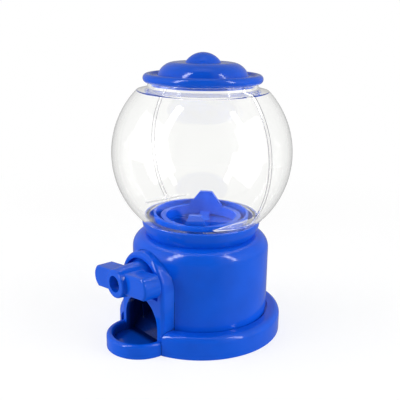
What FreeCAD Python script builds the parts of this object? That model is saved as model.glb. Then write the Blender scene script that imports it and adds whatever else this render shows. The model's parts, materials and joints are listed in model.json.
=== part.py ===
# Mini gumball machine: clear globe on a round body, winged knob, geared dispensing wheel, chute and tray.
# Millimetres. The origin is on the floor, on the upright axis of the globe. +Z is up and the knob faces -Y.
# A size that ends in _out is a distance in front of the upright axis, so it lies at a negative Y.

import FreeCAD
import Part
import math
import os

# Fits
seat_gap = 0.15
run_gap = 0.30
bearing_gap = 0.08
thread_gap = 0.05
seam_gap = 0.10

# Foot ring
base_step = 6.6
base_h = 10.4
base_edge = 3.0
base_floor = 2.4
base_rim = 2.2
base_web = 0.7
groove_w = 0.8
groove_depth = 1.0
spigot_h = 4.0
spigot_wall = 1.8

# Body and collar
body_r = 31.9
body_wall = 1.6
shoulder_r = 6.5
collar_foot_z = 46.7
collar_h = 6.8
collar_flare = 2.1
collar_bulge = 0.5
collar_wall = 1.4
globe_seat_rise = 1.7

# Globe
globe_r = 41.0
globe_wall = 1.6
globe_top_cut = 28.56
globe_shelf = 1.3
seam_y = 2.0
top_neck_r = 24.6
top_neck_h = 2.0
top_slope = 1.0
neck_wall = 1.4
ledge_rise = 2.9
ledge_t = 0.8
ledge_clear = 2.25

# Lid
brim_over = 2.1
brim_t = 4.0
brim_valley = 0.9
dome_r = 20.2
dome_h = 5.8
dome_flat_r = 11.2
finial_r = 8.0
finial_h = 4.4
lid_wall = 1.8
lid_gap = 0.25
lid_rest = 0.1
skirt_depth = 1.2
skirt_wall = 1.5

# Front housing
arch_w = 15.3
arch_drop = 4.2
arch_wall = 2.0
front_proud = 2.95
front_wall = 4.2
front_edge = 1.8
housing_spare = 1.0
recess_r = 12.6
recess_depth = 2.2
recess_margin = 0.6
mouth_w = 11.9
mouth_z = 10.8

# Tray
tray_inset = 0.1
tray_lead = 0.65
tray_h = 6.5
tray_wall = 3.0
tray_floor = 2.0

# Tongue of the front housing, screwed to the foot ring's floor
tongue_t = 2.0
tongue_back_out = 5.0
tongue_boss_x = 8.0
tongue_boss_out = 9.0
tongue_boss_r = 2.5
tongue_boss_h = 3.6
notch_spare = 1.8
ramp_inset = 0.65
ramp_run = 4.2

# Knob
knob_angle = 7.0
hub_reach = 14.15
hub_front_r = 6.4
hub_back_r = 7.4
hub_edge = 0.8
wing_reach = 17.1
wing_bulge = 2.5
wing_half_h = 4.85
wing_clear = 3.65
wing_depth = 8.3
wing_edge = 1.0
knob_hole_r = 3.7
knob_hole_depth = 6.0
knob_web = 3.0

# Drive shaft
shaft_r = 2.2
tenon_half = 1.5
tenon_l = 4.0
collar_r = 3.6
collar_t = 1.5
lug_spare = 2.45
lug_t = 3.0
lug_half_w = 4.0
lug_below = 4.0

# Pinion and crown gear
pinion_teeth = 8
crown_teeth = 12
crown_mean_r = 5.15
crown_face = 1.4
crown_t = 1.4
crown_rim = 0.2
tooth_add = 0.5
tooth_ded = 0.75
tooth_w = 0.9
tooth_tip_w = 0.5
pinion_spare = 0.2

# Wheel, its cup and the ring above it
cup_drop = 6.7
pocket_count = 4
pocket_r = 5.0
pocket_rim = 2.2
drop_hole_r = 5.4
stem_r = 3.2
stem_key_half = 1.6
stem_key_l = 1.0
cup_floor = 1.5
cup_wall = 1.5
flange_lip = 1.1
flange_t = 1.5
guard_t = 1.2
guard_hub_wall = 1.6
guard_cover_deg = 110.0
hopper_clear = 0.6
hopper_wall = 1.2
hopper_rise = 2.6
hopper_ledge_t = 1.0
hopper_slope = 1.0
agitator_inset = 0.7
agitator_wall = 2.4
agitator_h = 5.0
agitator_rise = 1.0
agitator_turn = -49.0
agitator_hub_r = 4.2
agitator_spoke_w = 5.0
agitator_spoke_t = 1.6
tall_fin_base = 16.5
tall_fin_top = 5.9
tall_fin_h = 6.7
short_fin_base = 10.0
short_fin_top = 5.2
short_fin_h = 5.2

# Posts and ears that join the wheel cup to the body
cup_post_r = 2.8
cup_post_drop = 4.0
cup_post_angles = (90.0, 210.0, 330.0)
ear_t = 1.5
ear_half_w = 3.0

# Posts and bosses that join the body to the foot ring
base_post_inset = 1.9
base_post_r = 3.0
base_post_h = 17.0
base_boss_r = 4.0
base_post_angles = (40.0, 140.0, 200.0, 340.0)

# Chute slide
slide_spare = 1.1
slide_wall = 1.2
slide_floor = 1.6
slide_side_h = 7.0
slide_past = 1.6
slide_angle = 20.0
slide_rear_h = 9.0
slide_foot_l = 4.0
slide_leg_inset = 4.0
slide_leg_t = 1.6
rib_t = 1.6
rib_h = 4.0

# Screws and washers: radius of shank and head, head height, length under the head
screw_r = 1.0
screw_head_r = 2.0
screw_head_h = 1.0
screw_sink = 1.3
screw_slot_w = 0.5
screw_slot_depth = 0.6
cup_screw_l = 5.0
housing_screw_l = 5.5
base_screw_l = 16.0
base_screw_head_r = 2.3
base_screw_head_h = 1.6
base_screw_sink = 3.0
wheel_screw_head_r = 2.1
wheel_screw_head_h = 1.2
wheel_screw_end = 0.6
knob_screw_head_r = 2.9
knob_screw_head_h = 1.8
knob_screw_l = 9.0
washer_t = 0.5
washer_spare = 0.4

# Body, collar and foot ring, from the sizes above
body_seat_z = base_h - groove_depth
body_in_r = body_r - body_wall
shoulder_z = collar_foot_z - shoulder_r
ceiling_z = collar_foot_z - body_wall
collar_foot_r = body_r - shoulder_r
collar_rim_r = collar_foot_r + collar_flare
collar_rim_z = collar_foot_z + collar_h
globe_seat_z = collar_foot_z + globe_seat_rise
base_r = body_r + base_step
groove_r = body_r + groove_w
spigot_r = body_in_r - seat_gap
spigot_in_r = spigot_r - spigot_wall
spigot_top_z = body_seat_z + spigot_h
base_post_ring_r = body_in_r - base_post_inset

# Globe and lid
collar_seat_r = collar_foot_r + collar_flare * globe_seat_rise / collar_h - collar_wall
neck_foot_r = collar_seat_r - seat_gap
neck_rim_r = collar_rim_r - collar_wall - seat_gap
globe_bottom_cut = math.sqrt(globe_r**2 - collar_rim_r**2)
globe_bottom_z = collar_rim_z + seat_gap
globe_z = globe_bottom_z + globe_bottom_cut
globe_top_z = globe_z + globe_top_cut
globe_in_r = globe_r - globe_wall
globe_top_r = math.sqrt(globe_r**2 - globe_top_cut**2)
globe_top_in_r = math.sqrt(globe_in_r**2 - (globe_top_cut - globe_shelf)**2)
globe_bottom_in_r = math.sqrt(globe_in_r**2 - (globe_bottom_cut - globe_shelf)**2)
neck_top_z = globe_top_z + top_slope + top_neck_h
lid_z = neck_top_z + lid_rest
dome_z = lid_z + brim_t - brim_valley
brim_r = top_neck_r + brim_over

# Wheel, cup and the rings above them
hopper_r = neck_foot_r - neck_wall - hopper_clear
hopper_bore_r = hopper_r - hopper_wall
cup_r = hopper_bore_r - seat_gap
cup_in_r = cup_r - cup_wall
wheel_r = cup_in_r - run_gap
pocket_pitch_r = wheel_r - pocket_rim - pocket_r
agitator_r = cup_in_r - agitator_inset
agitator_in_r = agitator_r - agitator_wall
body_mouth_r = hopper_r + seat_gap
flange_r = hopper_r + flange_lip
cup_post_ring_r = flange_r + run_gap + cup_post_r
flange_z = ceiling_z - flange_t
ear_top_z = ceiling_z - cup_post_drop
ear_z = ear_top_z - ear_t
cup_floor_z = ceiling_z - cup_drop
cup_floor_top_z = cup_floor_z + cup_floor
wheel_z = cup_floor_top_z + run_gap
agitator_rim_z = collar_rim_z + agitator_rise
agitator_z = agitator_rim_z - agitator_h
guard_top_z = agitator_z - run_gap
guard_z = guard_top_z - guard_t
wheel_top_z = guard_z - run_gap

# Gears and shaft
crown_r = crown_mean_r + crown_face / 2 + crown_rim
pinion_pitch_r = crown_mean_r * pinion_teeth / crown_teeth
crown_top_z = cup_floor_z - run_gap
crown_root_z = crown_top_z - crown_t
crown_tip_z = crown_root_z - tooth_ded - tooth_add
knob_z = crown_root_z - tooth_ded - pinion_pitch_r
pinion_front_out = crown_mean_r + crown_face / 2 + pinion_spare
pinion_back_out = crown_mean_r - crown_face / 2 - pinion_spare
lug_out = pinion_front_out + lug_spare
shaft_bore_r = shaft_r + bearing_gap

# Front housing, knob and tray
front_out = body_r + front_proud
wall_back_out = front_out - front_wall
housing_back_out = flange_r + housing_spare
arch_z = knob_z - arch_drop
room_half_w = arch_w - arch_wall
recess_low_z = knob_z - hub_back_r - recess_margin
recess_floor_out = front_out - recess_depth
hub_back_out = recess_floor_out + run_gap
hub_front_out = front_out + hub_reach
wing_back_out = front_out + wing_clear
wing_front_out = wing_back_out + wing_depth
hole_floor_out = hub_front_out - knob_hole_depth
tenon_front_out = hole_floor_out - knob_web
tenon_back_out = tenon_front_out - tenon_l
tray_r = arch_w - tray_inset
tray_out = front_out + tray_lead
notch_half_w = arch_w + seat_gap
notch_back_out = math.sqrt(spigot_in_r**2 - notch_half_w**2) - notch_spare
tongue_z = base_floor
tongue_top_z = tongue_z + tongue_t

# Chute slide
ramp_out = wall_back_out - ramp_inset
slide_front_out = ramp_out - ramp_run
slide_half_w = room_half_w - slide_wall - slide_spare
slide_rear_y = pocket_pitch_r + drop_hole_r + slide_past
slide_leg_y = slide_rear_y - slide_leg_inset
slide_rise = math.tan(math.radians(slide_angle))
slide_drop = slide_floor / math.cos(math.radians(slide_angle))
slide_front_z = tongue_top_z + slide_drop

V = FreeCAD.Vector
ORIGIN = V(0, 0, 0)
X_AXIS = V(1, 0, 0)
Y_AXIS = V(0, 1, 0)
Z_AXIS = V(0, 0, 1)
PAST = 5.0


# Shape helpers

def face_xz(start, steps):
    """Closed face in the XZ plane. A step is an end point, or a pair (through, end) for an arc."""
    edges = []
    here = V(start[0], 0, start[1])
    for step in steps:
        if isinstance(step[0], tuple):
            through = V(step[0][0], 0, step[0][1])
            there = V(step[1][0], 0, step[1][1])
            edges.append(Part.Arc(here, through, there).toShape())
        else:
            there = V(step[0], 0, step[1])
            edges.append(Part.makeLine(here, there))
        here = there
    return Part.Face(Part.Wire(edges))


def spun(start, steps):
    """Solid of revolution about the upright axis, from a profile of (radius, height) points."""
    return face_xz(start, steps).revolve(ORIGIN, Z_AXIS, 360)


def rod(r, z0, z1, x=0.0, y=0.0):
    return Part.makeCylinder(r, z1 - z0, V(x, y, z0))


def tube(r_out, r_in, z0, z1):
    return rod(r_out, z0, z1).cut(rod(r_in, z0 - PAST, z1 + PAST))


def block(x0, x1, y0, y1, z0, z1):
    return Part.makeBox(x1 - x0, y1 - y0, z1 - z0, V(x0, y0, z0))


def prism_x(points, x0, x1):
    """Prism across X, from an outline of (y, z) points."""
    wire = Part.makePolygon([V(x0, y, z) for y, z in points + points[:1]])
    return Part.Face(wire).extrude(V(x1 - x0, 0, 0))


def turned(shape, degrees):
    return shape.rotated(ORIGIN, Z_AXIS, degrees)


def polar(r, degrees):
    return r * math.cos(math.radians(degrees)), r * math.sin(math.radians(degrees))


def on_knob_axis(shape):
    """Turns a shape made along +Z so that its height becomes the distance in front of the upright axis."""
    return shape.rotated(ORIGIN, X_AXIS, 90).translated(V(0, 0, knob_z))


def arch(half_w, spring_z, low_z, front, back):
    """Arched prism, flat below and half round above, from front to back along Y."""
    foot = (-half_w, low_z)
    steps = [(-half_w, spring_z), ((0, spring_z + half_w), (half_w, spring_z)), (half_w, low_z), foot]
    return face_xz(foot, steps).translated(V(0, front, 0)).extrude(V(0, back - front, 0))


def ring_point(centre_r, centre_z, r, degrees):
    """Point of a profile at an angle on an arc round a centre."""
    radius, rise = polar(r, degrees)
    return centre_r + radius, centre_z + rise


def edges_at_y(shape, y, above_z):
    """Edges of a shape that lie in one upright plane, apart from those at its foot."""
    found = []
    for edge in shape.Edges:
        box = edge.BoundBox
        if abs(box.YMin - y) < 1e-6 and abs(box.YMax - y) < 1e-6 and box.ZMax > above_z + 1e-6:
            found.append(edge)
    return found


def screw(shank_r, head_r, head_h, length):
    """Slotted screw along +Z. The underside of its head is at zero and the head is below."""
    solid = rod(head_r, -head_h, 0).fuse(rod(shank_r, -head_h / 2, length))
    slot = block(-head_r, head_r, -screw_slot_w / 2, screw_slot_w / 2, -head_h, -head_h + screw_slot_depth)
    return solid.cut(slot).removeSplitter()


# Lid

def make_lid():
    brim_round = brim_t / 2
    brim_mid_z = lid_z + brim_round
    brim_mid_r = brim_r - brim_round
    valley_angle = 180 - math.degrees(math.asin((dome_z - brim_mid_z) / brim_round))
    dome_top_z = dome_z + dome_h
    dome_bow = math.sqrt(0.5)
    bow_r = dome_flat_r + (dome_r - dome_flat_r) * dome_bow
    ball_r = (finial_r**2 + finial_h**2) / (2 * finial_h)
    ball_z = dome_top_z + finial_h - ball_r
    half_angle = (90 + math.degrees(math.asin((dome_top_z - ball_z) / ball_r))) / 2
    skirt_r = top_neck_r - neck_wall - lid_gap
    hollow_r = dome_r - lid_wall
    hollow_flat_r = dome_flat_r - lid_wall / 2
    hollow_bow_r = hollow_flat_r + (hollow_r - hollow_flat_r) * dome_bow
    hollow_top_z = dome_top_z - lid_wall
    outside = spun((0, lid_z), [
        (brim_mid_r, lid_z),
        ((brim_r, brim_mid_z), (brim_mid_r, lid_z + brim_t)),
        (ring_point(brim_mid_r, brim_mid_z, brim_round, (90 + valley_angle) / 2),
         ring_point(brim_mid_r, brim_mid_z, brim_round, valley_angle)),
        (dome_r, dome_z),
        ((bow_r, dome_z + dome_h * dome_bow), (dome_flat_r, dome_top_z)),
        (finial_r, dome_top_z),
        (ring_point(0, ball_z, ball_r, half_angle), (0, dome_top_z + finial_h)),
        (0, lid_z),
    ])
    hollow = spun((0, lid_z - PAST), [
        (hollow_r, lid_z - PAST),
        (hollow_r, dome_z),
        ((hollow_bow_r, dome_z + (dome_h - lid_wall) * dome_bow), (hollow_flat_r, hollow_top_z)),
        (0, hollow_top_z),
        (0, lid_z - PAST),
    ])
    skirt = tube(skirt_r, skirt_r - skirt_wall, lid_z - skirt_depth, lid_z + brim_round)
    return outside.cut(hollow).fuse(skirt).removeSplitter()


# Globe in two shells

def globe_ledges():
    """Flat ledges inside the foot of the globe, one at the lower end of each seam."""
    low_z = collar_rim_z + ledge_rise
    high_z = low_z + ledge_t
    wall_in_r = math.sqrt(globe_in_r**2 - (globe_z - high_z)**2)
    wall_out_r = math.sqrt(globe_r**2 - (globe_z - low_z)**2)
    chord = hopper_r + ledge_clear
    middle = block(-chord, chord, -globe_r, globe_r, low_z, high_z)
    return rod((wall_in_r + wall_out_r) / 2, low_z, high_z).cut(middle)


def make_globe():
    inner_z = globe_bottom_z + globe_shelf
    shoulder_top_z = globe_top_z + top_slope
    shell = spun((neck_foot_r - neck_wall, globe_seat_z), [
        (neck_foot_r, globe_seat_z),
        (neck_rim_r, globe_bottom_z),
        (collar_rim_r, globe_bottom_z),
        ((globe_r, globe_z), (globe_top_r, globe_top_z)),
        (top_neck_r, shoulder_top_z),
        (top_neck_r, neck_top_z),
        (top_neck_r - neck_wall, neck_top_z),
        (top_neck_r - neck_wall, shoulder_top_z - globe_shelf),
        (globe_top_in_r, globe_top_z - globe_shelf),
        ((globe_in_r, globe_z), (globe_bottom_in_r, inner_z)),
        (neck_rim_r - neck_wall, inner_z),
        (neck_foot_r - neck_wall, globe_seat_z),
    ])
    return shell.fuse(globe_ledges()).removeSplitter()


def globe_half(front):
    reach = globe_r + PAST
    if front:
        side = block(-reach, reach, -reach, seam_y - seam_gap / 2, 0, lid_z + PAST)
    else:
        side = block(-reach, reach, seam_y + seam_gap / 2, reach, 0, lid_z + PAST)
    return make_globe().common(side)


# Body with shoulder and collar

def body_outside():
    lean = math.degrees(math.atan2(collar_flare, collar_h))
    collar_mid_r = (collar_foot_r + collar_rim_r) / 2
    collar_mid_z = (collar_foot_z + collar_rim_z) / 2
    return spun((0, body_seat_z), [
        (body_r, body_seat_z),
        (body_r, shoulder_z),
        (ring_point(collar_foot_r, shoulder_z, shoulder_r, 45), (collar_foot_r, collar_foot_z)),
        (ring_point(collar_mid_r, collar_mid_z, collar_bulge, -lean), (collar_rim_r, collar_rim_z)),
        (0, collar_rim_z),
        (0, body_seat_z),
    ])


def body_hollow():
    bend_r = shoulder_r - body_wall
    return spun((0, body_seat_z - PAST), [
        (body_in_r, body_seat_z - PAST),
        (body_in_r, shoulder_z),
        (ring_point(collar_foot_r, shoulder_z, bend_r, 45), (collar_foot_r, ceiling_z)),
        (body_mouth_r, ceiling_z),
        (body_mouth_r, globe_seat_z),
        (collar_seat_r, globe_seat_z),
        (collar_rim_r - collar_wall, collar_rim_z),
        (collar_rim_r - collar_wall, collar_rim_z + PAST),
        (0, collar_rim_z + PAST),
        (0, body_seat_z - PAST),
    ])


def make_body_shell():
    outside = body_outside()
    shell = outside.cut(body_hollow())
    posts = []
    pilots = []
    for degrees in cup_post_angles:
        x, y = polar(cup_post_ring_r, degrees)
        posts.append(rod(cup_post_r, ear_top_z, collar_foot_z, x, y).common(outside))
        pilot_top_z = ear_z + cup_screw_l + thread_gap
        pilots.append(rod(screw_r + thread_gap, ear_top_z, pilot_top_z, x, y))
    for degrees in base_post_angles:
        x, y = polar(base_post_ring_r, degrees)
        posts.append(rod(base_post_r, spigot_top_z, spigot_top_z + base_post_h, x, y))
        depth = base_screw_l + base_screw_sink + thread_gap
        pilots.append(rod(screw_r + thread_gap, spigot_top_z, depth, x, y))
    way = arch(notch_half_w, arch_z, 0, -front_out, -housing_back_out + PAST)
    return shell.multiFuse(posts).cut(way).cut(pilots).removeSplitter()


# Foot ring

def make_base():
    ring = spun((0, 0), [
        (base_r, 0),
        (base_r, base_h - base_edge),
        (ring_point(base_r - base_edge, base_h - base_edge, base_edge, 45), (base_r - base_edge, base_h)),
        (groove_r, base_h),
        (groove_r, body_seat_z),
        (spigot_r, body_seat_z),
        (spigot_r, spigot_top_z),
        (spigot_in_r, spigot_top_z),
        (spigot_in_r, base_floor),
        (0, base_floor),
        (0, 0),
    ])
    channel = tube(base_r - base_rim, groove_r + base_web, -PAST, base_h - base_rim)
    bosses = []
    holes = []
    for degrees in base_post_angles:
        x, y = polar(base_post_ring_r, degrees)
        bosses.append(rod(base_boss_r, 0, spigot_top_z, x, y).common(rod(spigot_r, 0, spigot_top_z)))
        holes.append(rod(screw_r + seat_gap, 0, spigot_top_z, x, y))
        holes.append(rod(base_screw_head_r + seat_gap, 0, base_screw_sink, x, y))
    for x in (-tongue_boss_x, tongue_boss_x):
        holes.append(rod(screw_r + seat_gap, 0, base_floor, x, -tongue_boss_out))
        holes.append(rod(screw_head_r + seat_gap, 0, screw_sink, x, -tongue_boss_out))
    slot_half = slide_leg_t / 2 + seat_gap
    leg_half_w = slide_half_w + slide_wall
    ribs = []
    for y in (slide_leg_y - slot_half - rib_t, slide_leg_y + slot_half):
        ribs.append(block(-leg_half_w, leg_half_w, y, y + rib_t, 0, base_floor + rib_h))
    notch_front = -base_r - PAST
    notch = block(-notch_half_w, notch_half_w, notch_front, -notch_back_out, -PAST, spigot_top_z + PAST)
    return ring.cut(channel).multiFuse(bosses + ribs).cut(notch).cut(holes).removeSplitter()


# Front housing with chute mouth and tray

def make_tray():
    lip = tray_wall / 2
    wall_in = tray_r - tray_wall
    profile = face_xz((0, 0), [
        (tray_r, 0),
        (tray_r, tray_h - lip),
        ((tray_r - lip, tray_h), (wall_in, tray_h - lip)),
        (wall_in, tray_floor),
        (0, tray_floor),
        (0, 0),
    ])
    bowl = profile.revolve(ORIGIN, Z_AXIS, -180).translated(V(0, -tray_out, 0))
    right = profile.translated(V(0, -tray_out, 0)).extrude(V(0, tray_out - wall_back_out, 0))
    left = right.mirror(ORIGIN, X_AXIS)
    return bowl.multiFuse([right, left])


def make_front_housing():
    outside = arch(arch_w, arch_z, 0, -front_out, -housing_back_out)
    outside = outside.makeFillet(front_edge, edges_at_y(outside, -front_out, 0))
    room = arch(room_half_w, arch_z, tray_floor, -wall_back_out, PAST)
    mouth = arch(mouth_w, mouth_z, tray_floor, -front_out - PAST, -wall_back_out + PAST)
    round_recess = rod(recess_r, recess_floor_out, front_out + PAST)
    recess = on_knob_axis(round_recess).translated(V(0, 0, arch_z - knob_z))
    high = block(-arch_w, arch_w, -front_out - PAST, 0, recess_low_z, arch_z + arch_w)
    bore = on_knob_axis(rod(shaft_bore_r, 0, front_out + PAST))
    pieces = [make_tray()]
    pieces.append(block(-arch_w, arch_w, -front_out + front_edge, -notch_back_out - seat_gap, 0, tray_floor))
    ramp_back = -slide_front_out - seat_gap
    ramp = [(-ramp_out, 0), (-ramp_out, tray_floor), (ramp_back, slide_front_z), (ramp_back, 0)]
    pieces.append(prism_x(ramp, -room_half_w, room_half_w))
    pieces.append(block(-room_half_w, room_half_w, ramp_back, -notch_back_out - seat_gap, 0, tongue_top_z))
    pieces.append(block(-room_half_w, room_half_w, ramp_back, -tongue_back_out, tongue_z, tongue_top_z))
    pilots = []
    for x in (-tongue_boss_x, tongue_boss_x):
        boss_top_z = tongue_top_z + tongue_boss_h
        pieces.append(rod(tongue_boss_r, tongue_z, boss_top_z, x, -tongue_boss_out))
        pilot_top_z = screw_sink + housing_screw_l + thread_gap
        pilots.append(rod(screw_r + thread_gap, 0, pilot_top_z, x, -tongue_boss_out))
    shell = outside.cut(room).cut(mouth).cut(recess.common(high)).cut(bore)
    return shell.multiFuse(pieces).cut(pilots).removeSplitter()


# Knob, its screw and washer

def make_knob():
    hub_steps = [
        (hub_back_r, hub_back_out),
        (hub_front_r, hub_front_out - hub_edge),
        (ring_point(hub_front_r - hub_edge, hub_front_out - hub_edge, hub_edge, 45),
         (hub_front_r - hub_edge, hub_front_out)),
        (0, hub_front_out),
        (0, hub_back_out),
    ]
    hub = on_knob_axis(spun((0, hub_back_out), hub_steps))
    tip = wing_reach + wing_bulge
    low_z = knob_z - wing_half_h
    high_z = knob_z + wing_half_h
    wing_face = face_xz((-wing_reach, low_z), [
        ((-tip, knob_z), (-wing_reach, high_z)),
        (wing_reach, high_z),
        ((tip, knob_z), (wing_reach, low_z)),
        (-wing_reach, low_z),
    ])
    wings = wing_face.translated(V(0, -wing_front_out, 0)).extrude(V(0, wing_front_out - wing_back_out, 0))
    wings = wings.makeFillet(wing_edge, edges_at_y(wings, -wing_front_out, 0))
    hole = rod(knob_hole_r, hole_floor_out, hub_front_out + PAST)
    socket = rod(shaft_r + seat_gap, hub_back_out - PAST, tenon_back_out + seat_gap)
    half = tenon_half + seat_gap
    key = block(-half, half, -half, half, tenon_back_out, tenon_front_out + seat_gap)
    screw_way = rod(screw_r + seat_gap, tenon_front_out, hole_floor_out)
    inside = [on_knob_axis(shape) for shape in (hole, socket, key, screw_way)]
    return at_rest_angle(hub.fuse(wings).cut(inside).removeSplitter())


def at_rest_angle(shape):
    return shape.rotated(V(0, 0, knob_z), Y_AXIS, -knob_angle)


def make_knob_washer():
    outer = knob_screw_head_r + washer_spare
    ring = tube(outer, screw_r + seat_gap, hole_floor_out, hole_floor_out + washer_t)
    return at_rest_angle(on_knob_axis(ring))


def make_knob_screw():
    solid = screw(screw_r, knob_screw_head_r, knob_screw_head_h, knob_screw_l)
    backward = solid.rotated(ORIGIN, X_AXIS, 180).translated(V(0, 0, hole_floor_out + washer_t))
    return at_rest_angle(on_knob_axis(backward))


# Drive shaft with its pinion

def pinion_tooth():
    root = pinion_pitch_r - tooth_ded
    tip = pinion_pitch_r + tooth_add
    points = [(-tooth_w / 2, 0), (-tooth_w / 2, root), (-tooth_tip_w / 2, tip)]
    points += [(tooth_tip_w / 2, tip), (tooth_w / 2, root), (tooth_w / 2, 0), (-tooth_w / 2, 0)]
    wire = Part.makePolygon([V(x, y, pinion_back_out) for x, y in points])
    return Part.Face(wire).extrude(V(0, 0, pinion_front_out - pinion_back_out))


def make_drive_shaft():
    solid = rod(shaft_r, pinion_back_out, tenon_back_out)
    tenon = block(-tenon_half, tenon_half, -tenon_half, tenon_half, tenon_back_out - shaft_r, tenon_front_out)
    collar_front = wall_back_out - run_gap
    thrust_collar = rod(collar_r, collar_front - collar_t, collar_front)
    core = rod(pinion_pitch_r - tooth_ded, pinion_back_out, pinion_front_out)
    teeth = [turned(pinion_tooth(), 360 / pinion_teeth * n) for n in range(pinion_teeth)]
    pilot_l = knob_screw_l - washer_t + thread_gap
    pilot = rod(screw_r + thread_gap, hole_floor_out - pilot_l, tenon_front_out + PAST)
    drive = on_knob_axis(solid.multiFuse([thrust_collar, core] + teeth))
    front = at_rest_angle(on_knob_axis(tenon))
    return drive.fuse(front).cut(on_knob_axis(pilot)).removeSplitter()


# Crown gear under the wheel

def crown_tooth():
    inner = crown_mean_r - crown_face / 2
    points = [(-tooth_w / 2, crown_root_z + crown_t / 2), (-tooth_w / 2, crown_root_z)]
    points += [(-tooth_tip_w / 2, crown_tip_z), (tooth_tip_w / 2, crown_tip_z)]
    points += [(tooth_w / 2, crown_root_z), (tooth_w / 2, crown_root_z + crown_t / 2)]
    points.append(points[0])
    wire = Part.makePolygon([V(x, -inner, z) for x, z in points])
    return Part.Face(wire).extrude(V(0, -crown_face, 0))


def make_crown_gear():
    step = 360 / crown_teeth
    teeth = [turned(crown_tooth(), step * (n + 0.5)) for n in range(crown_teeth)]
    half = stem_key_half + seat_gap
    key = block(-half, half, -half, half, crown_top_z - stem_key_l - seat_gap, crown_top_z)
    way = rod(screw_r + seat_gap, crown_tip_z, crown_top_z)
    return rod(crown_r, crown_root_z, crown_top_z).multiFuse(teeth).cut([key, way]).removeSplitter()


# Pocket wheel with its stem

def make_pocket_wheel():
    stem = rod(stem_r, crown_top_z, agitator_z)
    keys = []
    for z0 in (crown_top_z - stem_key_l, agitator_z):
        keys.append(block(-stem_key_half, stem_key_half, -stem_key_half, stem_key_half, z0, z0 + stem_key_l))
    pockets = []
    for n in range(pocket_count):
        x, y = polar(pocket_pitch_r, 90 + 360 / pocket_count * n)
        pockets.append(rod(pocket_r, wheel_z, wheel_top_z, x, y))
    way = rod(screw_r + seat_gap, crown_tip_z, agitator_rim_z)
    return rod(wheel_r, wheel_z, wheel_top_z).multiFuse([stem] + keys).cut(pockets + [way]).removeSplitter()


# Cup that holds the wheel, with the drop hole and the shaft's rear bearing

def make_wheel_housing():
    cup = rod(cup_r, cup_floor_z, guard_z).cut(rod(cup_in_r, cup_floor_top_z, guard_z))
    flange = tube(flange_r, cup_in_r, flange_z - flange_t, flange_z)
    parts = [flange]
    holes = [rod(stem_r + bearing_gap, cup_floor_z, cup_floor_top_z)]
    holes.append(rod(drop_hole_r, cup_floor_z, cup_floor_top_z, 0, pocket_pitch_r))
    for degrees in cup_post_angles:
        plate = block(cup_in_r, cup_post_ring_r, -ear_half_w, ear_half_w, ear_z, ear_top_z)
        round_end = rod(ear_half_w, ear_z, ear_top_z, cup_post_ring_r, 0)
        ear = plate.fuse(round_end).cut(rod(cup_in_r, ear_z, ear_top_z))
        parts.append(turned(ear, degrees))
        x, y = polar(cup_post_ring_r, degrees)
        holes.append(rod(screw_r + seat_gap, ear_z, ear_top_z, x, y))
    lug = block(-lug_half_w, lug_half_w, -lug_out - lug_t, -lug_out, knob_z, cup_floor_z)
    lug_end = on_knob_axis(rod(lug_below, lug_out, lug_out + lug_t))
    bore = on_knob_axis(rod(shaft_bore_r, lug_out, lug_out + lug_t))
    return cup.multiFuse(parts + [lug, lug_end]).cut(holes + [bore]).removeSplitter()


# Plate over the wheel, open except above the drop hole

def make_guard_plate():
    hub_in_r = stem_r + run_gap
    hub_r = hub_in_r + guard_hub_wall
    gap_face = face_xz((hub_r, guard_z), [
        (agitator_in_r, guard_z),
        (agitator_in_r, guard_top_z),
        (hub_r, guard_top_z),
        (hub_r, guard_z),
    ])
    opening = turned(gap_face.revolve(ORIGIN, Z_AXIS, 360 - guard_cover_deg), 90 + guard_cover_deg / 2)
    return tube(cup_r, hub_in_r, guard_z, guard_top_z).cut(opening)


# Fixed ring round the agitator ring

def make_hopper_ring():
    top_z = collar_rim_z + hopper_rise
    ledge_z = guard_top_z + hopper_ledge_t
    ledge_r = agitator_r + run_gap
    return spun((hopper_bore_r, flange_z), [
        (flange_r, flange_z),
        (flange_r, ceiling_z),
        (hopper_r, ceiling_z),
        (hopper_r, top_z),
        (hopper_bore_r, top_z),
        (hopper_bore_r, ledge_z + hopper_slope),
        (ledge_r, ledge_z),
        (ledge_r, guard_top_z),
        (hopper_bore_r, guard_top_z),
        (hopper_bore_r, flange_z),
    ])


# Agitator ring with its two fins

def fin(base_w, top_w, height, out):
    foot_z = agitator_rim_z - agitator_wall
    flare = (base_w - top_w) / 2 / height * agitator_wall
    steps = [
        (top_w / 2, agitator_rim_z + height),
        (-top_w / 2, agitator_rim_z + height),
        (-base_w / 2 - flare, foot_z),
        (base_w / 2 + flare, foot_z),
    ]
    prism = face_xz((base_w / 2 + flare, foot_z), steps).extrude(V(0, out, 0))
    return prism.common(tube(agitator_r, agitator_in_r, foot_z, agitator_rim_z + height))


def make_agitator_ring():
    ring = tube(agitator_r, agitator_in_r, agitator_z, agitator_rim_z)
    hub_h = stem_key_l + seat_gap + wheel_screw_end
    hub = rod(agitator_hub_r, agitator_z, agitator_z + agitator_spoke_t + hub_h)
    half = agitator_spoke_w / 2
    spoke_l = agitator_in_r + agitator_wall / 2
    spoke = block(-half, half, -spoke_l, spoke_l, agitator_z, agitator_z + agitator_spoke_t)
    reach = agitator_r + PAST
    short_fin = fin(short_fin_base, short_fin_top, short_fin_h, -reach)
    tall_fin = fin(tall_fin_base, tall_fin_top, tall_fin_h, reach)
    key_half = stem_key_half + seat_gap
    key = block(-key_half, key_half, -key_half, key_half, agitator_z, agitator_z + stem_key_l + seat_gap)
    key = turned(key, -90 - agitator_turn)
    pilot = rod(screw_r + thread_gap, agitator_z, agitator_z + agitator_spoke_t + hub_h - wheel_screw_end)
    solid = ring.multiFuse([hub, spoke, short_fin, tall_fin]).cut([key, pilot]).removeSplitter()
    return turned(solid, 90 + agitator_turn)


# Screw and washer on the wheel's axis

def make_wheel_washer():
    return tube(wheel_screw_head_r + washer_spare, screw_r + seat_gap, crown_root_z - washer_t, crown_root_z)


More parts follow.
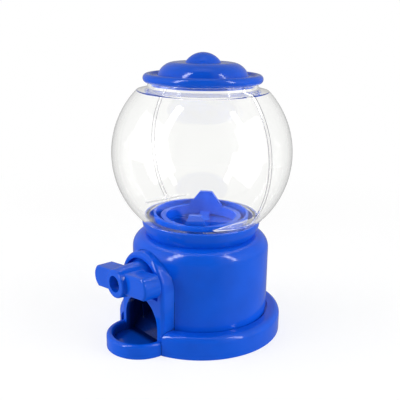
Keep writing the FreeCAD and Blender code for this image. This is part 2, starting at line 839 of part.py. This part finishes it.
def make_wheel_screw():
    seat_z = crown_root_z - washer_t
    hub_h = stem_key_l + seat_gap + wheel_screw_end
    end_z = agitator_z + agitator_spoke_t + hub_h - wheel_screw_end - thread_gap
    solid = screw(screw_r, wheel_screw_head_r, wheel_screw_head_h, end_z - seat_z)
    return solid.translated(V(0, 0, seat_z))


# Chute slide

def slide_top_z(y):
    return slide_front_z + (y + slide_front_out) * slide_rise


def make_chute_slide():
    half = slide_half_w + slide_wall
    front_y = -slide_front_out
    foot_y = front_y + slide_foot_l
    rear_y = slide_rear_y + slide_wall
    floor = [
        (front_y, tongue_top_z),
        (foot_y, tongue_top_z),
        (foot_y, slide_top_z(foot_y) - slide_drop),
        (rear_y, slide_top_z(rear_y) - slide_drop),
        (rear_y, slide_top_z(rear_y)),
        (front_y, slide_front_z),
    ]
    side = [
        (front_y, slide_front_z),
        (rear_y, slide_top_z(rear_y)),
        (rear_y, slide_top_z(rear_y) + slide_side_h),
        (front_y, slide_front_z + slide_side_h),
    ]
    parts = [prism_x(side, slide_half_w, half), prism_x(side, -half, -slide_half_w)]
    rear_z = slide_top_z(slide_rear_y)
    parts.append(block(-half, half, slide_rear_y, rear_y, rear_z, rear_z + slide_rear_h))
    leg_back = slide_leg_y + slide_leg_t / 2
    leg_front = slide_leg_y - slide_leg_t / 2
    leg = [
        (leg_front, base_floor),
        (leg_back, base_floor),
        (leg_back, slide_top_z(leg_back) - slide_drop / 2),
        (leg_front, slide_top_z(leg_front) - slide_drop / 2),
    ]
    parts.append(prism_x(leg, -half, half))
    return prism_x(floor, -half, half).multiFuse(parts).removeSplitter()


# Groups of like screws

def make_wheel_housing_screws():
    group = []
    for degrees in cup_post_angles:
        x, y = polar(cup_post_ring_r, degrees)
        group.append(screw(screw_r, screw_head_r, screw_head_h, cup_screw_l).translated(V(x, y, ear_z)))
    return Part.makeCompound(group)


def make_base_screws():
    group = []
    for degrees in base_post_angles:
        x, y = polar(base_post_ring_r, degrees)
        solid = screw(screw_r, base_screw_head_r, base_screw_head_h, base_screw_l)
        group.append(solid.translated(V(x, y, base_screw_sink)))
    return Part.makeCompound(group)


def make_housing_screws():
    group = []
    for x in (-tongue_boss_x, tongue_boss_x):
        solid = screw(screw_r, screw_head_r, screw_head_h, housing_screw_l)
        group.append(solid.translated(V(x, -tongue_boss_out, screw_sink)))
    return Part.makeCompound(group)


NODES = {
    "lid": make_lid(),
    "globe_front_shell": globe_half(True),
    "globe_rear_shell": globe_half(False),
    "body_shell": make_body_shell(),
    "base": make_base(),
    "front_housing": make_front_housing(),
    "knob": make_knob(),
    "knob_washer": make_knob_washer(),
    "knob_screw": make_knob_screw(),
    "drive_shaft": make_drive_shaft(),
    "crown_gear": make_crown_gear(),
    "pocket_wheel": make_pocket_wheel(),
    "wheel_housing": make_wheel_housing(),
    "guard_plate": make_guard_plate(),
    "hopper_ring": make_hopper_ring(),
    "agitator_ring": make_agitator_ring(),
    "wheel_washer": make_wheel_washer(),
    "wheel_screw": make_wheel_screw(),
    "chute_slide": make_chute_slide(),
    "wheel_housing_screws": make_wheel_housing_screws(),
    "base_screws": make_base_screws(),
    "housing_screws": make_housing_screws(),
}

os.makedirs("parts", exist_ok=True)
for name, shape in NODES.items():
    shape.exportStep(os.path.join("parts", name + ".step"))
    print(name, "solids", len(shape.Solids), "volume", round(shape.Volume, 2), "valid", shape.isValid())
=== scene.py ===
"""Looks, light and camera for the mini gumball machine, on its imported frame."""

import json
import math

import bpy
from mathutils import Matrix, Vector


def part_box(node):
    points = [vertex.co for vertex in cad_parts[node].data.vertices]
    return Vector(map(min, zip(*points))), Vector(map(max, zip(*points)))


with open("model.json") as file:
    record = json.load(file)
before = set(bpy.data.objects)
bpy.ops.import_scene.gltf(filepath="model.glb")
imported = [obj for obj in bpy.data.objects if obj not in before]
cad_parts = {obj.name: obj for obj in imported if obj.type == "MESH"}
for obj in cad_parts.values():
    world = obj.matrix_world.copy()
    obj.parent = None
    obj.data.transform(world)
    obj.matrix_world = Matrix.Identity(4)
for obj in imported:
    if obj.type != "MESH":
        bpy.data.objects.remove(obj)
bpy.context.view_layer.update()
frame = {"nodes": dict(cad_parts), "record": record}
nodes = frame["nodes"]

# Lengths are in metres, angles in radians and colours linear, except where a comment says otherwise.
# Each noise is its scale and detail, and each bump its strength and depth.

# Camera, with lens and sensor in millimetres
camera_turn = math.radians(49.0)
camera_away = 0.2946
camera_side = 0.00053
camera_height = 0.1445
camera_pitch = 0.274
camera_roll = 0.015
camera_lens = 59.2
camera_near = 0.01
sensor_width = 36.0

# The part of a noise's values that is spread over a whole range
noise_span = (0.3, 0.7)

# Blue plastic
blue_deep = (0.0018, 0.090, 0.665, 1)
blue_main = (0.0022, 0.102, 0.735, 1)
blue_worn = (0.0140, 0.160, 0.820, 1)
# The colour of the painted shade deep in the chute's mouth and in crevices
blue_shadow = (0.0010, 0.012, 0.110, 1)
blue_shine = 0.5
blue_cloud_noise = (70, 3)
blue_rough_noise = (180, 5)
blue_rough = (0.09, 0.16)
blue_grain_noise = (1100, 2)
blue_grain = (0.03, 0.00005)
wear_noise = (260, 4)
wear_edge = (0.51, 0.60)
wear_most = 0.5

# Pieces under the globe, which have less gloss
inner_pieces = ("hopper_ring", "agitator_ring", "guard_plate", "pocket_wheel")
inner_shine = 0.16

# Pieces round the chute's mouth, which get painted shade deep inside and in crevices: limits in
# depth and height, and in how much of the surroundings a place is open to
painted_shade_pieces = ("front_housing", "chute_slide")
painted_shade_depth = (-0.0352, -0.0320)
painted_shade_top = (0.0228, 0.0240)
painted_shade_open = (0.35, 0.55)
crevice_shade_open = (0.08, 0.30)
crevice_shade_reach = 0.05
crevice_shade_samples = 16

# Pale plastic
pale_main = (0.62, 0.61, 0.56, 1)
pale_deep = (0.52, 0.51, 0.46, 1)
pale_cloud_noise = (150, 4)
pale_rough_noise = (400, 4)
pale_rough = (0.36, 0.50)
pale_grain_noise = (2200, 2)
pale_grain = (0.10, 0.00005)

# Brushed steel
steel_main = (0.56, 0.56, 0.58, 1)
steel_deep = (0.34, 0.34, 0.36, 1)
steel_brush_noise = (700, 4)
steel_brush_stretch = (1, 1, 0.06)
steel_rough = (0.22, 0.38)
steel_grain = (0.12, 0.00003)

# Clear plastic: two weld lines beside the seam on the globe's skin, and straight paths
# after this many inner reflections
clear_main = (0.996, 0.997, 0.991, 1)
clear_deep = (0.986, 0.988, 0.980, 1)
clear_ior = 1.49
clear_turns = 2.5
clear_flow_noise = (45, 2)
clear_flow = (0.05, 0.001)
clear_rough_noise = (120, 3)
clear_rough = (0.01, 0.05)
weld_grey = (0.06, 0.06, 0.08, 1)
weld_half = 0.0009
weld_line = 0.00026
weld_rough = 0.3
globe_middle = (0, 0, 0.0841)
globe_skin = (0.0400, 0.0404)

# Softened edges
edge_angle = math.radians(32)
flat_angle = math.radians(0.4)
merge_distance = 0.000002
edge_steps = 3
edge_width_small = 0.00008
edge_widths = {
    "lid": 0.00045,
    "body_shell": 0.00035,
    "base": 0.0004,
    "front_housing": 0.0004,
    "knob": 0.0003,
    "agitator_ring": 0.0003,
    "hopper_ring": 0.00025,
    "guard_plate": 0.0002,
    "pocket_wheel": 0.0003,
    "chute_slide": 0.0003,
    "wheel_housing": 0.0003,
}
kept_facets = ("front_housing", "knob", "crown_gear")

# Floor: near is the ring in which its glow rises to white, and front is inside the tent's opening
floor_half = 6.0
floor_near = (0.10, 0.34)
floor_glow = 0.72
floor_paint = 0.34
floor_fill = 0.35
floor_gloss = 0.30
floor_front = 0.15

# Lamps: turn from the camera's side and rise in degrees, power in watts.
# The strips show in gloss only, and the sides only fill.
lamp_aim = Vector((0, 0, 0.06))
lamp_away = 0.60
lamps = {
    "strip_left": {"turn": -51, "rise": 36, "size": (0.08, 0.60), "power": 1.6, "shine": True},
    "strip_right": {"turn": 58, "rise": 32, "size": (0.06, 0.50), "power": 0.9, "shine": True},
    "side_left": {"turn": -78, "rise": 16, "size": (0.50, 0.50), "power": 2.7, "shine": False},
    "side_right": {"turn": 72, "rise": 16, "size": (0.50, 0.50), "power": 2.5, "shine": False},
}

# Tent: its level as fill light (walls to top, between two heights), in gloss (walls and zenith),
# as it is seen, and in reflections that have been through the clear plastic
tent_fill = 0.64
tent_top = 0.36
tent_rise = (0.25, 0.90)
tent_gloss = 0.40
tent_zenith = 0.80
tent_seen = 1.0
tent_through = 0.75

# The tent's opening, which is dark in gloss up to a height
window_dark = 0.06
window_half = math.radians(38)
window_soft = math.radians(13)
window_centre = math.radians(-6)
window_top = (0.94, 1.00)

white = (1, 1, 1, 1)
first_bounce = 0.5

# The Mix node's sockets for each kind of data, which share their names: both inputs and the output
mix_sockets = {"FLOAT": (2, 3, 0), "RGBA": (6, 7, 2)}


def add(tree, kind, **settings):
    """A new shader or geometry node with some of its settings."""
    node = tree.nodes.new(kind)
    for name, value in settings.items():
        setattr(node, name, value)
    return node


def feed(tree, socket, value):
    """Links another node's socket to an input, or sets the input to a plain value."""
    if isinstance(value, bpy.types.NodeSocket):
        tree.links.new(value, socket)
    else:
        socket.default_value = value


def math_node(tree, operation, *inputs):
    """A maths node fed by sockets or numbers; returns its output."""
    node = add(tree, "ShaderNodeMath", operation=operation)
    for socket, value in zip(node.inputs, inputs):
        feed(tree, socket, value)
    return node.outputs[0]


def vector_node(tree, operation, *inputs):
    """A vector maths node fed by sockets or vectors; returns its value."""
    node = add(tree, "ShaderNodeVectorMath", operation=operation)
    for socket, value in zip(node.inputs, inputs):
        feed(tree, socket, value)
    return node.outputs["Value"]


def mixed(tree, kind, factor, first, second):
    """Two inputs of one kind mixed by a factor; returns the output."""
    first_at, second_at, output_at = mix_sockets[kind]
    node = add(tree, "ShaderNodeMix", data_type=kind)
    for at, value in ((0, factor), (first_at, first), (second_at, second)):
        feed(tree, node.inputs[at], value)
    return node.outputs[output_at]


def blended(tree, factor, first, second):
    """Two colours mixed by a factor; returns the colour."""
    return mixed(tree, "RGBA", factor, first, second)


def chosen(tree, factor, first, second):
    """The first value at a factor of 0 and the second at 1; returns the value."""
    return mixed(tree, "FLOAT", factor, first, second)


def ramp(tree, value, low, high, to_low, to_high):
    """A smooth step of a value from one range to another; returns its output."""
    node = add(tree, "ShaderNodeMapRange", interpolation_type="SMOOTHSTEP", clamp=True)
    tree.links.new(value, node.inputs["Value"])
    node.inputs["From Min"].default_value = low
    node.inputs["From Max"].default_value = high
    node.inputs["To Min"].default_value = to_low
    node.inputs["To Max"].default_value = to_high
    return node.outputs["Result"]


def spread(tree, value, to_low=0, to_high=1):
    """A noise value spread over a range; returns its output."""
    return ramp(tree, value, *noise_span, to_low, to_high)


def axes(tree, vector):
    """The parts of a vector along X, Y and Z, as sockets by name."""
    split = add(tree, "ShaderNodeSeparateXYZ")
    tree.links.new(vector, split.inputs["Vector"])
    return split.outputs


def own_place(tree):
    """The place in the piece's own space."""
    return add(tree, "ShaderNodeTexCoord").outputs["Object"]


def noise(tree, scale, detail, stretch=(1, 1, 1)):
    """Noise in the piece's own space; returns its value."""
    mapping = add(tree, "ShaderNodeMapping")
    mapping.inputs["Scale"].default_value = stretch
    texture = add(tree, "ShaderNodeTexNoise")
    texture.inputs["Scale"].default_value = scale
    texture.inputs["Detail"].default_value = detail
    tree.links.new(own_place(tree), mapping.inputs["Vector"])
    tree.links.new(mapping.outputs["Vector"], texture.inputs["Vector"])
    return texture.outputs["Fac"]


def bump(tree, height, strength, distance):
    """A bump from a height value; returns its normal."""
    node = add(tree, "ShaderNodeBump")
    node.inputs["Strength"].default_value = strength
    node.inputs["Distance"].default_value = distance
    tree.links.new(height, node.inputs["Height"])
    return node.outputs["Normal"]


def new_material(name):
    """A new material with nothing but its output; returns material, tree and surface socket."""
    material = bpy.data.materials.new(name)
    material.use_nodes = True
    tree = material.node_tree
    tree.nodes.clear()
    output = add(tree, "ShaderNodeOutputMaterial")
    return material, tree, output.inputs["Surface"]


def main_shader(tree, surface, colour, roughness, normal):
    """The main shader of a material with its varied inputs, linked to the surface; returns it."""
    shader = add(tree, "ShaderNodeBsdfPrincipled")
    tree.links.new(colour, shader.inputs["Base Color"])
    tree.links.new(roughness, shader.inputs["Roughness"])
    tree.links.new(normal, shader.inputs["Normal"])
    tree.links.new(shader.outputs["BSDF"], surface)
    return shader


def painted_hollow_shade(tree):
    """How much painted shade a place gets deep in the chute's mouth and in crevices below its top,
    from 0 to 1.
    """
    crevice = add(tree, "ShaderNodeAmbientOcclusion", samples=crevice_shade_samples)
    crevice.inputs["Distance"].default_value = crevice_shade_reach
    is_open = crevice.outputs["AO"]
    place = axes(tree, own_place(tree))
    back = ramp(tree, place["Y"], *painted_shade_depth, 0, 1)
    closed = math_node(tree, "MULTIPLY", back, ramp(tree, is_open, *painted_shade_open, 1, 0))
    shade = math_node(tree, "MAXIMUM", ramp(tree, is_open, *crevice_shade_open, 1, 0), closed)
    low = ramp(tree, place["Z"], *painted_shade_top, 1, 0)
    return math_node(tree, "MULTIPLY", shade, low)


def blue_plastic(name, shine, with_painted_shade):
    """Moulded plastic of a given gloss, with painted shade deep in the chute's mouth and in crevices
    if asked.
    """
    material, tree, surface = new_material(name)
    cloudy = spread(tree, noise(tree, *blue_cloud_noise))
    edge = add(tree, "ShaderNodeNewGeometry").outputs["Pointiness"]
    rubbed = ramp(tree, edge, *wear_edge, 0, wear_most)
    worn = math_node(tree, "MULTIPLY", rubbed, noise(tree, *wear_noise))
    colour = blended(tree, worn, blended(tree, cloudy, blue_deep, blue_main), blue_worn)
    if with_painted_shade:
        # Painted shade: the colour turns to a dark blue deep in the chute's mouth and in crevices
        colour = blended(tree, painted_hollow_shade(tree), colour, blue_shadow)
    roughness = spread(tree, noise(tree, *blue_rough_noise), *blue_rough)
    grain = bump(tree, noise(tree, *blue_grain_noise), *blue_grain)
    shader = main_shader(tree, surface, colour, roughness, grain)
    shader.inputs["Specular IOR Level"].default_value = shine
    return material


def pale_plastic():
    """Half-matt moulded plastic."""
    material, tree, surface = new_material("pale_plastic_look")
    cloudy = spread(tree, noise(tree, *pale_cloud_noise))
    roughness = spread(tree, noise(tree, *pale_rough_noise), *pale_rough)
    grain = bump(tree, noise(tree, *pale_grain_noise), *pale_grain)
    main_shader(tree, surface, blended(tree, cloudy, pale_deep, pale_main), roughness, grain)
    return material


def brushed_steel():
    """Steel with fine brush marks along the piece."""
    material, tree, surface = new_material("brushed_steel_look")
    brushed = noise(tree, *steel_brush_noise, steel_brush_stretch)
    colour = blended(tree, spread(tree, brushed), steel_deep, steel_main)
    roughness = spread(tree, brushed, *steel_rough)
    shader = main_shader(tree, surface, colour, roughness, bump(tree, brushed, *steel_grain))
    shader.inputs["Metallic"].default_value = 1
    return material


def weld_lines(tree):
    """Two fine lines beside the globe's seam, on its skin only, from 0 to 1."""
    seam_y = (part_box("globe_front_shell")[1][1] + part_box("globe_rear_shell")[0][1]) / 2
    place = own_place(tree)
    across = math_node(tree, "SUBTRACT", axes(tree, place)["Y"], seam_y)
    from_seam = math_node(tree, "ABSOLUTE", across)
    from_weld = math_node(tree, "ABSOLUTE", math_node(tree, "SUBTRACT", from_seam, weld_half))
    line = ramp(tree, from_weld, weld_line / 2, weld_line, 1, 0)
    skin = ramp(tree, vector_node(tree, "DISTANCE", place, globe_middle), *globe_skin, 0, 1)
    return math_node(tree, "MULTIPLY", line, skin)


def clear_plastic():
    """Clear moulded plastic that lets the lamps through and ends long inner reflections."""
    material, tree, surface = new_material("clear_plastic_look")
    flow = noise(tree, *clear_flow_noise)
    weld = weld_lines(tree)
    colour = blended(tree, spread(tree, flow), clear_deep, clear_main)
    colour = blended(tree, weld, colour, weld_grey)
    haze = spread(tree, noise(tree, *clear_rough_noise), *clear_rough)
    roughness = math_node(tree, "MULTIPLY_ADD", weld, weld_rough, haze)
    shader = main_shader(tree, surface, colour, roughness, bump(tree, flow, *clear_flow))
    shader.inputs["Transmission Weight"].default_value = 1
    shader.inputs["IOR"].default_value = clear_ior
    path = add(tree, "ShaderNodeLightPath").outputs
    inner = math_node(tree, "GREATER_THAN", path["Glossy Depth"], clear_turns)
    straight = add(tree, "ShaderNodeBsdfTransparent")
    mix = add(tree, "ShaderNodeMixShader")
    tree.links.new(math_node(tree, "MAXIMUM", path["Is Shadow Ray"], inner), mix.inputs["Fac"])
    tree.links.new(shader.outputs["BSDF"], mix.inputs[1])
    tree.links.new(straight.outputs["BSDF"], mix.inputs[2])
    tree.links.new(mix.outputs["Shader"], surface)
    return material


def smooth_by_angle():
    """A geometry group that shades faces smooth and keeps edges above an angle sharp."""
    group = bpy.data.node_groups.new("smooth_by_angle", "GeometryNodeTree")
    for side in ("INPUT", "OUTPUT"):
        group.interface.new_socket("Geometry", in_out=side, socket_type="NodeSocketGeometry")
    start = add(group, "NodeGroupInput")
    finish = add(group, "NodeGroupOutput")
    faces = add(group, "GeometryNodeSetShadeSmooth", domain="FACE")
    edges = add(group, "GeometryNodeSetShadeSmooth", domain="EDGE")
    edges.inputs["Shade Smooth"].default_value = False
    angle = add(group, "GeometryNodeInputMeshEdgeAngle")
    sharp = add(group, "FunctionNodeCompare", data_type="FLOAT", operation="GREATER_THAN")
    sharp.inputs[1].default_value = edge_angle
    group.links.new(angle.outputs["Unsigned Angle"], sharp.inputs[0])
    group.links.new(sharp.outputs["Result"], edges.inputs["Selection"])
    group.links.new(start.outputs[0], faces.inputs["Geometry"])
    group.links.new(faces.outputs["Geometry"], edges.inputs["Geometry"])
    group.links.new(edges.outputs["Geometry"], finish.inputs[0])
    return group


def soften(piece, width, smoothing, merged):
    """Rounds hard edges and shades round faces smooth, with flat facets merged first if asked."""
    weld = piece.modifiers.new("weld", "WELD")
    weld.merge_threshold = merge_distance
    if merged:
        flat = piece.modifiers.new("flat", "DECIMATE")
        flat.decimate_type = "DISSOLVE"
        flat.angle_limit = flat_angle
    bevel = piece.modifiers.new("bevel", "BEVEL")
    bevel.width = width
    bevel.segments = edge_steps
    bevel.limit_method = "ANGLE"
    bevel.angle_limit = edge_angle
    bevel.miter_outer = "MITER_ARC"
    shade = piece.modifiers.new("shade", "NODES")
    shade.node_group = smoothing
    normals = piece.modifiers.new("normals", "WEIGHTED_NORMAL")
    normals.keep_sharp = True


def paint(piece, material):
    """Gives every material slot of a piece one material."""
    if not piece.material_slots:
        piece.data.materials.append(material)
    for slot in piece.material_slots:
        slot.material = material


def dress():
    """Materials and soft edges for every piece."""
    looks = {
        "blue_plastic": blue_plastic("blue_plastic_look", blue_shine, False),
        "clear_plastic": clear_plastic(),
        "pale_plastic": pale_plastic(),
        "steel": brushed_steel(),
    }
    # A copy of the blue plastic with painted shade, for the pieces round the chute's mouth
    painted_shade_look = blue_plastic("blue_painted_shade_look", blue_shine, True)
    inner_look = blue_plastic("blue_inner_look", inner_shine, False)
    special = dict.fromkeys(painted_shade_pieces, painted_shade_look) | dict.fromkeys(inner_pieces, inner_look)
    smoothing = smooth_by_angle()
    slots = {part["node"]: part["material_slot"] for part in frame["record"]["subparts"]}
    for name, piece in nodes.items():
        paint(piece, special.get(name, looks[slots[name]]))
        width = edge_widths.get(name, edge_width_small)
        soften(piece, width, smoothing, name not in kept_facets)


def toward_camera(turn):
    """Level direction from the middle of the scene, turned from the camera's side."""
    return Vector((math.sin(camera_turn + turn), -math.cos(camera_turn + turn), 0))


def make_camera():
    """The photograph's view: from the front and above, with a slight roll."""
    away = toward_camera(0)
    right = Vector((math.cos(camera_turn), math.sin(camera_turn), 0))
    ahead = -away * math.cos(camera_pitch) - Vector((0, 0, math.sin(camera_pitch)))
    up = right.cross(ahead)
    rolled_right = right * math.cos(camera_roll) + up * math.sin(camera_roll)
    rolled_up = up * math.cos(camera_roll) - right * math.sin(camera_roll)
    camera = bpy.data.objects.new("camera", bpy.data.cameras.new("camera"))
    camera.data.sensor_width = sensor_width
    camera.data.lens = camera_lens
    camera.data.clip_start = camera_near
    place = away * camera_away - right * camera_side + Vector((0, 0, camera_height))
    turned = Matrix((rolled_right, rolled_up, -ahead)).transposed().to_4x4()
    camera.matrix_world = Matrix.Translation(place) @ turned
    bpy.context.scene.collection.objects.link(camera)
    bpy.context.scene.camera = camera


def make_lamps():
    """Soft panels aimed at the middle of the object."""
    for name, facts in lamps.items():
        lamp = bpy.data.lights.new(name, "AREA")
        lamp.shape = "RECTANGLE"
        lamp.size, lamp.size_y = facts["size"]
        lamp.energy = facts["power"]
        rise = math.radians(facts["rise"])
        level = toward_camera(math.radians(facts["turn"])) * math.cos(rise)
        out = (level + Vector((0, 0, math.sin(rise)))) * lamp_away
        panel = bpy.data.objects.new(name, lamp)
        panel.rotation_euler = (-out).to_track_quat("-Z", "Y").to_euler()
        panel.location = lamp_aim + out
        panel.visible_glossy = facts["shine"]
        panel.visible_diffuse = not facts["shine"]
        bpy.context.scene.collection.objects.link(panel)


def opening(tree, vector):
    """How far a direction or place lies inside the tent's opening, from 0 to 1."""
    ahead = vector_node(tree, "DOT_PRODUCT", vector, toward_camera(window_centre))
    aside = vector_node(tree, "DOT_PRODUCT", vector, toward_camera(window_centre + math.pi / 2))
    turn = math_node(tree, "ABSOLUTE", math_node(tree, "ARCTAN2", aside, ahead))
    return ramp(tree, turn, window_half - window_soft, window_half + window_soft, 1, 0)


def bounced(tree, depth):
    """Whether a ray's count of one kind of bounce is above none, as 0 or 1."""
    return math_node(tree, "GREATER_THAN", depth, first_bounce)


def inside_clear(tree, path):
    """Whether a glossy ray has been through the clear plastic, as 0 or 1."""
    passed = bounced(tree, path["Transmission Depth"])
    return math_node(tree, "MULTIPLY", path["Is Glossy Ray"], passed)


def make_floor():
    """A plain white floor that keeps a faint shadow, darker in gloss inside the tent's opening."""
    mesh = bpy.data.meshes.new("floor")
    signs = ((-1, -1), (1, -1), (1, 1), (-1, 1))
    corners = [(x * floor_half, y * floor_half, 0) for x, y in signs]
    mesh.from_pydata(corners, [], [(0, 1, 2, 3)])
    floor = bpy.data.objects.new("floor", mesh)
    bpy.context.scene.collection.objects.link(floor)
    material, tree, surface = new_material("floor_look")
    path = add(tree, "ShaderNodeLightPath").outputs
    place = add(tree, "ShaderNodeNewGeometry").outputs["Position"]
    near = ramp(tree, vector_node(tree, "LENGTH", place), *floor_near, 1, 0)
    shown = chosen(tree, near, 1, floor_glow)
    gloss = chosen(tree, opening(tree, place), floor_gloss, floor_front)
    level = chosen(tree, path["Is Glossy Ray"], shown, gloss)
    level = chosen(tree, inside_clear(tree, path), level, tent_through)
    level = chosen(tree, path["Is Transmission Ray"], level, shown)
    level = chosen(tree, bounced(tree, path["Diffuse Depth"]), level, floor_fill)
    glow = add(tree, "ShaderNodeEmission")
    glow.inputs["Color"].default_value = white
    tree.links.new(level, glow.inputs["Strength"])
    matt = add(tree, "ShaderNodeBsdfDiffuse")
    straight = math_node(tree, "SUBTRACT", 1, path["Is Transmission Ray"])
    mirrored = math_node(tree, "MULTIPLY", path["Is Glossy Ray"], straight)
    painted = math_node(tree, "MULTIPLY", near, floor_paint)
    tree.links.new(chosen(tree, mirrored, painted, 0), matt.inputs["Color"])
    both = add(tree, "ShaderNodeAddShader")
    tree.links.new(glow.outputs["Emission"], both.inputs[0])
    tree.links.new(matt.outputs["BSDF"], both.inputs[1])
    tree.links.new(both.outputs["Shader"], surface)
    mesh.materials.append(material)


def make_world():
    """A white tent with a darker opening on the camera's side, which shows only in gloss."""
    world = bpy.data.worlds.new("tent")
    world.use_nodes = True
    bpy.context.scene.world = world
    tree = world.node_tree
    tree.nodes.clear()
    path = add(tree, "ShaderNodeLightPath").outputs
    view = add(tree, "ShaderNodeTexCoord").outputs["Generated"]
    height = axes(tree, view)["Z"]
    below_top = ramp(tree, height, *window_top, 1, 0)
    window = math_node(tree, "MULTIPLY", opening(tree, view), below_top)
    sky = ramp(tree, height, *window_top, tent_gloss, tent_zenith)
    gloss = chosen(tree, window, sky, window_dark)
    fill = ramp(tree, height, *tent_rise, tent_fill, tent_top)
    seen = math_node(tree, "MAXIMUM", path["Is Camera Ray"], path["Is Transmission Ray"])
    level = chosen(tree, path["Is Glossy Ray"], fill, gloss)
    level = chosen(tree, inside_clear(tree, path), level, tent_through)
    level = chosen(tree, seen, level, tent_seen)
    level = chosen(tree, bounced(tree, path["Diffuse Depth"]), level, fill)
    background = add(tree, "ShaderNodeBackground")
    background.inputs["Color"].default_value = white
    output = add(tree, "ShaderNodeOutputWorld")
    tree.links.new(level, background.inputs["Strength"])
    tree.links.new(background.outputs["Background"], output.inputs["Surface"])


dress()
make_camera()
make_lamps()
make_floor()
make_world()
bpy.context.scene.view_settings.view_transform = "Standard"
